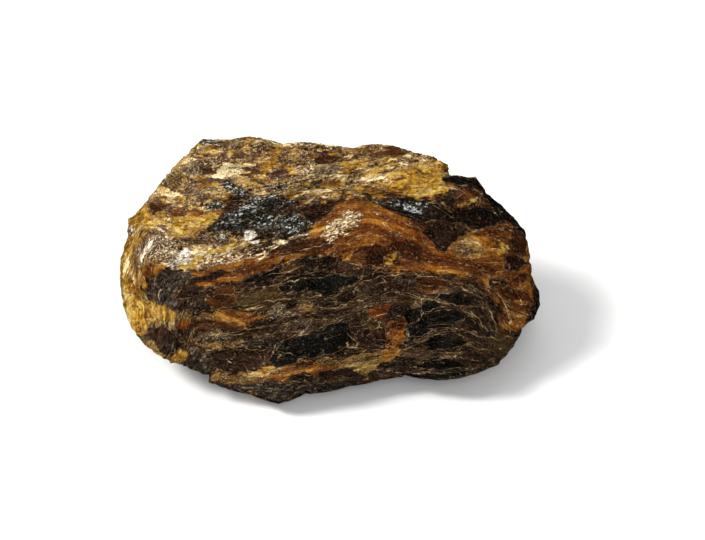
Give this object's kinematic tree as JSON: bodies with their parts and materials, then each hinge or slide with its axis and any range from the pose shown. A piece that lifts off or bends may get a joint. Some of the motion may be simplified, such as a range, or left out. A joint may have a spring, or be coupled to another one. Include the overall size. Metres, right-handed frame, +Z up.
{
  "type": "raw amber piece",
  "caption": "Rough broken lump of dark amber: layered resin splinters, lumps and clefts, resting on a flat fracture.",
  "frame": {"origin": "middle of the bounding box's underside, in the plane of the flat fracture that the piece rests on", "axes": "+X along the piece's length, +Z up as it rests, -Y towards its broad broken face"},
  "size_m": [0.09, 0.0538, 0.0362],
  "materials": {
    "amber": "broken, glossy where the fracture is clean, dull on its crust"
  },
  "bodies": {
    "root": {"raw_amber": "amber"}
  },
  "joints": []
}
